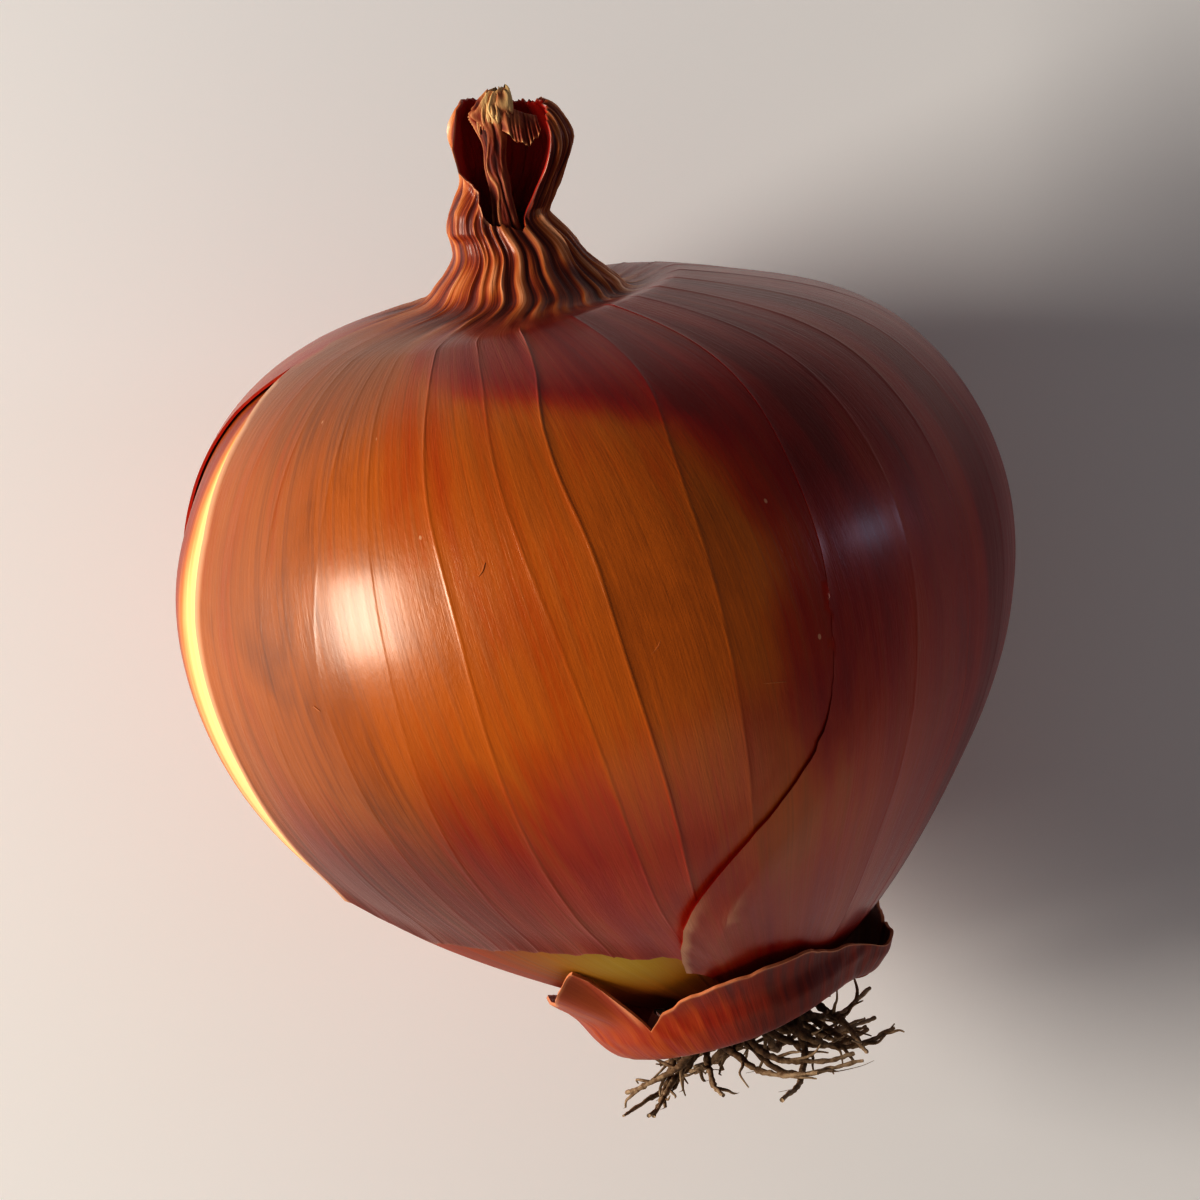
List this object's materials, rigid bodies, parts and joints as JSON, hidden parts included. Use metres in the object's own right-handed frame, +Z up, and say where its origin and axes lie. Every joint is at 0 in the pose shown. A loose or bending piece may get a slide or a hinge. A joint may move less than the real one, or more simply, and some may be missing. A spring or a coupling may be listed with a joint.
{
  "type": "onion",
  "caption": "Brown onion lying on its side, with a torn papery skin, a dried neck, a curled skin collar and a tuft of wiry roots.",
  "frame": {"origin": "on the surface that the onion lies on, under the middle of its bounding box", "axes": "+Y along the onion towards its neck, +Z up, +X to the right seen from above with the neck at the top"},
  "size_m": [0.0796, 0.0996, 0.0761],
  "materials": {
    "bulb": "glossy, moist under the skin",
    "dry_skin": "satin, with fine lengthwise fibres",
    "dried_leaf": "dry and fibrous",
    "collar_skin": "dry and brittle",
    "roots": "dry and matt"
  },
  "bodies": {
    "root": {"inner_bulb": "bulb", "outer_skin": "dry_skin", "neck_core": "dried_leaf", "root_collar": "collar_skin", "root_tuft": "roots"}
  },
  "joints": []
}
